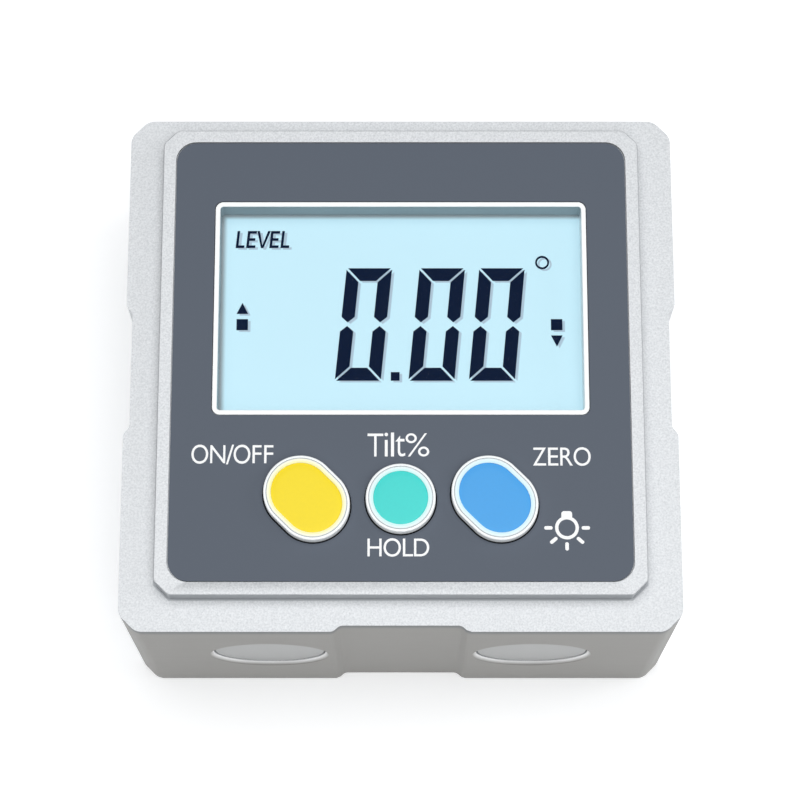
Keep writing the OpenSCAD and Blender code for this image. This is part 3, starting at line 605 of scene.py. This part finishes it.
class GAUGE_OT_display(bpy.types.Operator):
    """Finishes the lip, the lens, the lit ground and the dark figures"""

    bl_idname = "gauge.display"
    bl_label = "Display"

    # Slack of the tests that find the lip's top and the window's walls
    TOP_SLACK, WALL_SLACK = 0.01 * MM, 0.1 * MM
    # Part of a face's normal below which the face counts as square to that axis
    SQUARE = 0.3
    # Height of the figures' shadows over the display's ground, and their thickness
    SHADOW_LIFT, SHADOW_THICKNESS = 0.004 * MM, 0.02 * MM
    # Width of the painted shadow of the lip along the window's left and upper edge, and strength of the display's light
    LEFT_SHADE, UPPER_SHADE, GLOW = 0.62 * MM, 0.5 * MM, 0.8

    def execute(self, context):
        size, colour = sizes(), colours()
        # Glossy white ABS: clean and bright
        white = moulded("glossy_white_abs", colour.white, 0.3, 0.4, 0.002, 0.02)
        # The same plastic on the window's inner walls: a cool grey, in the shade of the lip
        shaded = moulded("lip_wall_in_shade", colour.lip_shade, 0.5, 0.4, 0.002, 0.04)
        bm = node_copy("display_frame")
        round_edges(bm, corners(bm, lambda p: p.z > OVERLAY_TOP - self.TOP_SLACK), size.lip_round, 2)
        slack = Vector((self.WALL_SLACK, self.WALL_SLACK, 0))
        low, high = WINDOW_LOW - slack, WINDOW_HIGH + slack
        for face in bm.faces:
            p = face.calc_center_median()
            inside = low.x < p.x < high.x and low.y < p.y < high.y
            faces_light = face.normal.x < self.SQUARE and face.normal.y > -self.SQUARE
            if inside and abs(face.normal.z) < self.SQUARE and p.z > DISPLAY_TOP and not faces_light:
                face.material_index = 1
        piece("white_lip_frame", bm, "gauge", [white, shaded], ["display_frame"])

        # Polished clear acrylic: almost unseen, with a faint shine
        lens = moulded("polished_clear_acrylic", "#2c3a42", 0.08, 2.0, 0.0005, 0.02, Alpha=0.02, Specular_IOR_Level=0.2)
        dress(lens, "display_lens")
        dress(self.lit_ground(colour), "lcd_glass")
        # Liquid crystal figures: nearly black with a cold blue cast
        figures = moulded("dark_display_figures", colour.figures, 0.6, 0.3, 0.001, 0.15, Specular_IOR_Level=0.065)
        dress(figures, "lcd_marks")

        bm = node_copy("lcd_marks")
        low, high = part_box("lcd_marks")
        bmesh.ops.translate(bm, verts=bm.verts, vec=(size.shadow_right, -size.shadow_down, -low.z))
        bmesh.ops.scale(bm, verts=bm.verts, vec=(1, 1, self.SHADOW_THICKNESS / (high.z - low.z)))
        bmesh.ops.translate(bm, verts=bm.verts, vec=(0, 0, DISPLAY_TOP + self.SHADOW_LIFT))
        # Shadow on the display's reflector: a soft grey blue behind each figure
        shadow = moulded(
            "figure_shadows_on_reflector", colour.figure_shadow, 0.6, 0.3, 0.001, 0.04,
            Emission_Color=tuple(colour.figure_shadow), Emission_Strength=0.25)
        piece("figure_shadows", bm, "gauge", [shadow], even=False)
        return {"FINISHED"}

    def lit_ground(self, colour):
        """Backlit display glass: an even pale blue glow, with a painted shadow of the lip along the window's upper and
        left edge.
        """
        material = moulded("backlit_display_glass", colour.display, 0.35, 1.0, 0.0005, 0.01, spread=0.02)
        tree = material.node_tree
        surface = tree.nodes["Principled BSDF"]
        parts = add(tree, "ShaderNodeSeparateXYZ", {0: object_place(material)})
        shade = []
        for axis, edge, width in (("X", WINDOW_LOW.x, self.LEFT_SHADE), ("Y", WINDOW_HIGH.y, -self.UPPER_SHADE)):
            levels = {"Value": parts.outputs[axis], "From Min": edge, "From Max": edge + width}
            shade.append(add(tree, "ShaderNodeMapRange", levels, interpolation_type="SMOOTHSTEP").outputs[0])
        light = add(tree, "ShaderNodeMath", {0: shade[0], 1: shade[1]}, operation="MULTIPLY")
        veil(material, light.outputs[0], colour.lip_shade)
        glow = add(tree, "ShaderNodeMath", {0: light.outputs[0], 1: self.GLOW}, operation="MULTIPLY")
        tree.links.new(glow.outputs[0], surface.inputs["Emission Strength"])
        surface.inputs["Emission Color"].default_value = tuple(colour.display_glow)
        return material


class GAUGE_OT_buttons(bpy.types.Operator):
    """Builds the three white caps and their coloured faces"""

    bl_idname = "gauge.buttons"
    bl_label = "Buttons"

    # Radius of the foot that presses the switch, and height of the ledge that keeps a cap in the body
    SWITCH_FOOT, LEDGE_HEIGHT = 1.7 * MM, 0.8 * MM
    # Distance between the two ends of an oval button, and its slope
    OVAL_STRETCH, OVAL_TURN = 1.7 * MM, math.radians(-45)
    # A coloured face is moulded into its cap, so it fills most of the slip that the solids keep
    FACE_SLIP = 0.04 * MM
    # Width of each ring of a face's dome as a share of the face's radius, and each ring's share of the dome's height
    DOME_RING, DOME_SHARES = 0.26, (0.5, 0.3, 0.2)

    def execute(self, context):
        colour = colours()
        # White ABS with a faint painted glow, so that the caps' walls stay nearly as bright as their tops
        white = moulded(
            "glossy_white_cap_abs_painted_glow", colour.cap, 0.3, 0.4, 0.002, 0.02, Emission_Color=tuple(colour.cap),
            Emission_Strength=0.12)
        # The same plastic where the hole keeps the light off it: the fine dark line round each cap
        foot = moulded("white_abs_in_its_hole", colour.cap_shade, 0.6, 0.4, 0.002, 0.05)
        # The same plastic in the groove: a hairline of soft grey, painted shade
        groove = moulded("white_abs_groove_in_painted_shade", colour.cap_groove, 0.5, 0.4, 0.002, 0.03)
        # Glossy ABS faces: clear even colours, and the white rim carries a painted glow of each, most at the face
        kinds = (
            ("power", self.OVAL_STRETCH, "face_yellow", colour.yellow, "#fbfae0", "#fbf7b8"),
            ("hold", 0.0, "face_green", colour.green, "#e6f6f7", "#d0f8f6"),
            ("zero", self.OVAL_STRETCH, "face_blue", colour.blue, "#e5f6fa", "#d4f3fc"),
        )
        for name, stretch, slot, face_colour, *glow_tints in kinds:
            painted_glow_rings = [moulded(f"white_abs_{i + 1}_beside_{slot}", t, 0.3, 0.4, 0.002, 0.02) for i, t in enumerate(glow_tints)]
            face = moulded(f"glossy_abs_{slot}", face_colour, 0.4, 0.35, 0.002, 0.03, Specular_IOR_Level=0.3)
            self.cap(name, stretch, [white, foot, groove, *painted_glow_rings])
            self.face(name, stretch, slot, face)
        return {"FINISHED"}

    def outline(self, node, stretch):
        """Lowest and highest corner, middle and end radius of a button's node."""
        low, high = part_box(node)
        middle = (low + high) / 2
        return low, high, middle, (high.x - low.x) / 2 - stretch / 2 * math.cos(self.OVAL_TURN)

    def cap(self, name, stretch, materials):
        """A white cap from its switch foot up to the seat of its coloured face."""
        size = sizes()
        low, high, middle, ledge_r = self.outline(f"{name}_button", stretch)
        ledge_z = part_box(f"{name}_plunger")[1].z + self.LEDGE_HEIGHT
        top = high.z
        bm = bmesh.new()
        bottom = oval_face(bm, ledge_r, stretch, self.OVAL_TURN, (middle.x, middle.y, ledge_z))
        face = lift(bm, bottom, self.LEDGE_HEIGHT, keep=True)
        face = shrink(bm, face, size.cap_ledge)
        face = lift(bm, face, OVERLAY_TOP - ledge_z - self.LEDGE_HEIGHT)
        for below in bm.faces:
            below.material_index = 1
        face.material_index = 0
        face = lift(bm, face, top - OVERLAY_TOP)
        rim_edges = face.edges[:]
        # Width of each of the two rings that carry the painted glow of the face's colour
        halo = (size.cap_rim - size.cap_land - 2 * size.cap_groove) / 2
        # Each ring of the top from the edge inwards: width, change of height and material
        for width, height, index in (
                (size.cap_land, 0, 0), (size.cap_groove, -size.cap_groove, 2), (size.cap_groove, size.cap_groove, 2),
                (halo, 0, 3), (halo, 0, 4)):
            before = set(bm.faces)
            face = shrink(bm, face, width, height)
            for ring in set(bm.faces) - before:
                ring.material_index = index
        lift(bm, face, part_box(f"{name}_face")[0].z - top)
        round_edges(bm, rim_edges, size.cap_round, 4)
        foot = shrink(bm, bottom, ledge_r - self.SWITCH_FOOT)
        lift(bm, foot, low.z - ledge_z)
        bmesh.ops.recalc_face_normals(bm, faces=bm.faces)
        piece(f"{name}_cap", bm, f"{name}_key", materials, [f"{name}_button"])

    def face(self, name, stretch, slot, material):
        """A coloured face with a low dome."""
        size = sizes()
        low, high, middle, radius = self.outline(f"{name}_face", stretch)
        radius += self.FACE_SLIP
        bm = bmesh.new()
        bottom = oval_face(bm, radius, stretch, self.OVAL_TURN, (middle.x, middle.y, low.z))
        face = lift(bm, bottom, high.z - low.z - size.face_dome, keep=True)
        edge = face.edges[:]
        for share in self.DOME_SHARES:
            face = shrink(bm, face, radius * self.DOME_RING, size.face_dome * share)
        round_edges(bm, edge, size.face_round, 3)
        bmesh.ops.recalc_face_normals(bm, faces=bm.faces)
        piece(f"{name}_top", bm, f"{name}_key", [material], [f"{name}_face"], even=False)


class GAUGE_OT_magnets(bpy.types.Operator):
    """Turns the two base magnets"""

    bl_idname = "gauge.magnets"
    bl_label = "Magnets"

    def execute(self, context):
        # Nickel plated magnet: smooth grey metal with a soft shine
        nickel = plated("nickel_plating", "#a6a7a7", 0.42)
        for side in ("left", "right"):
            low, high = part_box(f"{side}_magnet")
            middle, radius = (low + high) / 2, (high.x - low.x) / 2 - sizes().magnet_slip
            bm = bmesh.new()
            made = bmesh.ops.create_cone(
                bm, cap_ends=True, segments=96, radius1=radius, radius2=radius, depth=high.y - low.y)
            bmesh.ops.rotate(bm, verts=made["verts"], matrix=Matrix.Rotation(math.radians(90), 3, "X"))
            bmesh.ops.translate(bm, verts=made["verts"], vec=middle)
            round_edges(bm, corners(bm, lambda p: True), sizes().magnet_round)
            bmesh.ops.recalc_face_normals(bm, faces=bm.faces)
            piece(f"{side}_magnet_disc", bm, "gauge", [nickel], [f"{side}_magnet"])
        return {"FINISHED"}


class GAUGE_OT_back(bpy.types.Operator):
    """Rounds the back cover, the battery door and the screws"""

    bl_idname = "gauge.back"
    bl_label = "Back"

    # Depth of the skin in which an edge counts as one of the back's, and longest edge of a screw head's rim
    SKIN, RIM_EDGE = 0.02 * MM, 0.9 * MM

    def execute(self, context):
        size, colour = sizes(), colours()
        # Black ABS from a spark-eroded mould: a fine even tooth that breaks up the shine
        cover = moulded("spark_eroded_black_abs", colour.cover, 0.55, 0.3, 0.02, 0.2)
        for name, node, body in (("moulded_cover", "back_cover", "gauge"), ("moulded_door", "battery_door", "door")):
            bm = node_copy(node)
            round_edges(bm, corners(bm, self.on_back), size.cover_round, 2)
            piece(name, bm, body, [cover], [node])
        # Zinc plated steel screws: grey and a little dull
        zinc = plated("zinc_plated_steel", "#a2a5a9", 0.34)
        bm = node_copy("cover_screws")
        rims = [e for e in corners(bm, self.on_back)
                if all(len(v.link_edges) == 3 for v in e.verts) and e.calc_length() < self.RIM_EDGE]
        round_edges(bm, rims, size.screw_round)
        piece("cross_head_screws", bm, "gauge", [zinc], ["cover_screws"])
        dress(zinc, "board_screws")
        return {"FINISHED"}

    def on_back(self, p):
        return p.z < BACK_FACE + self.SKIN


class GAUGE_OT_cells(bpy.types.Operator):
    """Turns the two dry cells in their plain sleeves"""

    bl_idname = "gauge.cells"
    bl_label = "Cells"

    # Half section of a cell: place along its length and radius, in millimetres
    SECTION = (
        (0.0, 0.0), (0.0, 3.5), (0.2, 3.7), (0.2, 4.6), (0.1, 4.8), (0.1, 5.0), (0.35, 5.25), (33.0, 5.25),
        (43.3, 5.25), (43.6, 5.0), (43.6, 4.7), (43.4, 4.5), (43.4, 2.4), (43.7, 2.1), (43.7, 1.9), (44.3, 1.9),
        (44.5, 1.7), (44.5, 0.0),
    )
    # Radius from which the sleeve covers a cell, and place along it where the band starts, in millimetres
    SLEEVE_FROM, BAND_FROM = 4.9, 33.0

    def execute(self, context):
        # Printed plastic sleeve: a dark smooth skin with a low shine
        sleeve = moulded("printed_cell_sleeve", "#3a3f46", 0.35, 0.5, 0.001, 0.08)
        # Nickel plated steel ends: bright bare metal
        steel = plated("cell_end_steel", "#c4c6c8", 0.28)
        # Copper foil band at the button's end: a warm metal ring that tells the cell's two ends apart
        copper = plated("copper_cell_band", "#c08a52", 0.35)
        for name, way in (("upper_cell", -1), ("lower_cell", 1)):
            low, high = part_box(name)
            middle = (low + high) / 2
            start = Vector((middle.x - way * (high.x - low.x) / 2, middle.y, middle.z))
            bm = bmesh.new()
            line = [bm.verts.new(start + Vector((way * t, 0, r)) * MM) for t, r in self.SECTION]
            edges = [bm.edges.new(pair) for pair in zip(line, line[1:])]
            bmesh.ops.spin(
                bm, geom=line + edges, cent=start, axis=(1, 0, 0), dvec=(0, 0, 0), angle=2 * math.pi, steps=64,
                use_merge=True, use_duplicate=False)
            bmesh.ops.remove_doubles(bm, verts=bm.verts, dist=SAME_POINT)
            bmesh.ops.recalc_face_normals(bm, faces=bm.faces)
            for face in bm.faces:
                p = face.calc_center_median() - start
                if math.hypot(p.y, p.z) < self.SLEEVE_FROM * MM:
                    face.material_index = 1
                elif p.x * way > self.BAND_FROM * MM:
                    face.material_index = 2
            piece(f"{name}_in_sleeve", bm, "gauge", [sleeve, steel, copper], [name])
        return {"FINISHED"}


class GAUGE_OT_inside(bpy.types.Operator):
    """Gives the pieces inside the body their materials"""

    bl_idname = "gauge.inside"
    bl_label = "Inside"

    def execute(self, context):
        # Frosted acrylic: milky and half clear, so that it spreads the lamp's light
        dress(moulded("frosted_acrylic_guide", "#eef4f4", 0.6, 0.2, 0.01, 0.04, Alpha=0.6), "light_guide")
        # Moulded white lamp: smooth, with a warm cast
        dress(moulded("moulded_white_lamp", "#f4f3e6", 0.3, 0.5, 0.001, 0.03), "backlight_led")
        # Layered silicone: matt pink with fine bands
        dress(moulded("layered_pink_silicone", "#c9a9ac", 0.7, 0.12, 0.004, 0.15), "contact_strip")
        # Solder mask on glass fibre: a glossy green that varies a little
        dress(moulded("green_solder_mask", "#1f6b43", 0.35, 0.8, 0.002, 0.2), "main_board")
        # Moulded epoxy: dull black with a fine tooth
        dress(moulded("black_epoxy_package", "#24272b", 0.6, 0.1, 0.004, 0.2), "controller_chip", "tilt_sensor")
        # Fired ceramic: an even tan
        dress(moulded("tan_ceramic_chip", "#b59a72", 0.45, 0.15, 0.002, 0.1), "chip_capacitors")
        # Glass filled nylon: black and a little rough
        dress(moulded("black_switch_nylon", "#2a2c2f", 0.5, 0.2, 0.004, 0.15), "switch_bodies")
        # Acetal: smooth ivory with a waxy shine
        dress(moulded("ivory_acetal", "#e9e4d4", 0.4, 0.3, 0.001, 0.04),
              "power_plunger", "hold_plunger", "zero_plunger")
        # Nickel plated spring steel: warm bright metal
        dress(plated("nickel_plated_spring_steel", "#c8c3b4", 0.3),
              "positive_contact", "negative_contact", "link_contact")
        return {"FINISHED"}


class GAUGE_OT_stage(bpy.types.Operator):
    """Sets up the pale floor, the soft lights and the camera"""

    bl_idname = "gauge.stage"
    bl_label = "Stage"

    # Half the floor's width in metres, and the strengths of its own glow and of the air's light
    FLOOR_HALF, FLOOR_GLOW, AIR_LIGHT = 3.0, 0.28, 0.15
    # Each light: name, place, size and power in metres and watts
    LIGHTS = (
        ("overhead_softbox", (0.0, 0.0, 0.82), 0.9, 5.3),
        ("front_softbox", (0.10, -0.50, 0.70), 0.6, 1.3),
        ("right_fill", (0.80, 0.10, 0.50), 0.5, 1.4),
    )

    def execute(self, context):
        scene = context.scene
        # Matt white paper: even and pale, with a glow that keeps the ground white round the soft shadow
        paper = moulded(
            "matt_white_paper", "#f6f7f8", 0.9, 1.5, 0.002, 0.01, Emission_Color=linear("#ffffff"),
            Emission_Strength=self.FLOOR_GLOW)
        bm = bmesh.new()
        bmesh.ops.create_grid(bm, x_segments=1, y_segments=1, size=self.FLOOR_HALF)
        mesh = bpy.data.meshes.new("paper_floor")
        bm.to_mesh(mesh)
        bm.free()
        mesh.materials.append(paper)
        floor = bpy.data.objects.new("paper_floor", mesh)
        scene.collection.objects.link(floor)

        target = Vector((0, 0, PANEL_TOP / 2))
        for name, place, width, power in self.LIGHTS:
            light = bpy.data.lights.new(name, "AREA")
            light.shape, light.size, light.energy = "DISK", width, power
            lamp = bpy.data.objects.new(name, light)
            lamp.location = place
            lamp.rotation_euler = (target - Vector(place)).to_track_quat("-Z", "Y").to_euler()
            scene.collection.objects.link(lamp)

        world = bpy.data.worlds.new("pale_studio")
        scene.world = world
        world.use_nodes = True
        tree = world.node_tree
        tree.nodes.clear()
        air = add(tree, "ShaderNodeBackground", {"Color": linear("#f4f7fa"), "Strength": self.AIR_LIGHT})
        add(tree, "ShaderNodeOutputWorld", {"Surface": air.outputs[0]})

        camera = bpy.data.cameras.new("photo_camera")
        camera.sensor_width = SENSOR_MM
        camera.lens = FOCAL_PIXELS / FRAME_PIXELS * SENSOR_MM
        camera.shift_x = (FRAME_PIXELS / 2 - MIDDLE_PIXEL) / FRAME_PIXELS
        camera.clip_start = 0.01
        holder = bpy.data.objects.new("photo_camera", camera)
        holder.location = CAMERA_PLACE
        holder.rotation_euler = (VIEW_ANGLE, 0, 0)
        scene.collection.objects.link(holder)
        scene.camera = holder
        scene.view_settings.view_transform = "Standard"
        return {"FINISHED"}


OPERATORS = (
    GAUGE_OT_housing, GAUGE_OT_overlay, GAUGE_OT_labels, GAUGE_OT_lamp_symbol, GAUGE_OT_display, GAUGE_OT_buttons,
    GAUGE_OT_magnets, GAUGE_OT_back, GAUGE_OT_cells, GAUGE_OT_inside, GAUGE_OT_stage,
)


class GAUGE_PT_looks(bpy.types.Panel):
    """Lists the steps that dress the gauge"""

    bl_idname = "GAUGE_PT_looks"
    bl_label = "Angle gauge"
    bl_space_type = "VIEW_3D"
    bl_region_type = "UI"
    bl_category = "Gauge"

    def draw(self, context):
        for operator in OPERATORS:
            self.layout.operator(operator.bl_idname)
        for group in (context.scene.gauge_sizes, context.scene.gauge_colours):
            for name in group.__annotations__:
                self.layout.prop(group, name)


CLASSES = (GaugeSizes, GaugeColours, *OPERATORS, GAUGE_PT_looks)


def register():
    for item in CLASSES:
        bpy.utils.register_class(item)
    bpy.types.Scene.gauge_sizes = PointerProperty(type=GaugeSizes)
    bpy.types.Scene.gauge_colours = PointerProperty(type=GaugeColours)


def unregister():
    del bpy.types.Scene.gauge_colours
    del bpy.types.Scene.gauge_sizes
    for item in reversed(CLASSES):
        bpy.utils.unregister_class(item)


def main():
    register()
    for operator in OPERATORS:
        group, name = operator.bl_idname.split(".")
        getattr(getattr(bpy.ops, group), name)()


if __name__ == "__main__":
    main()
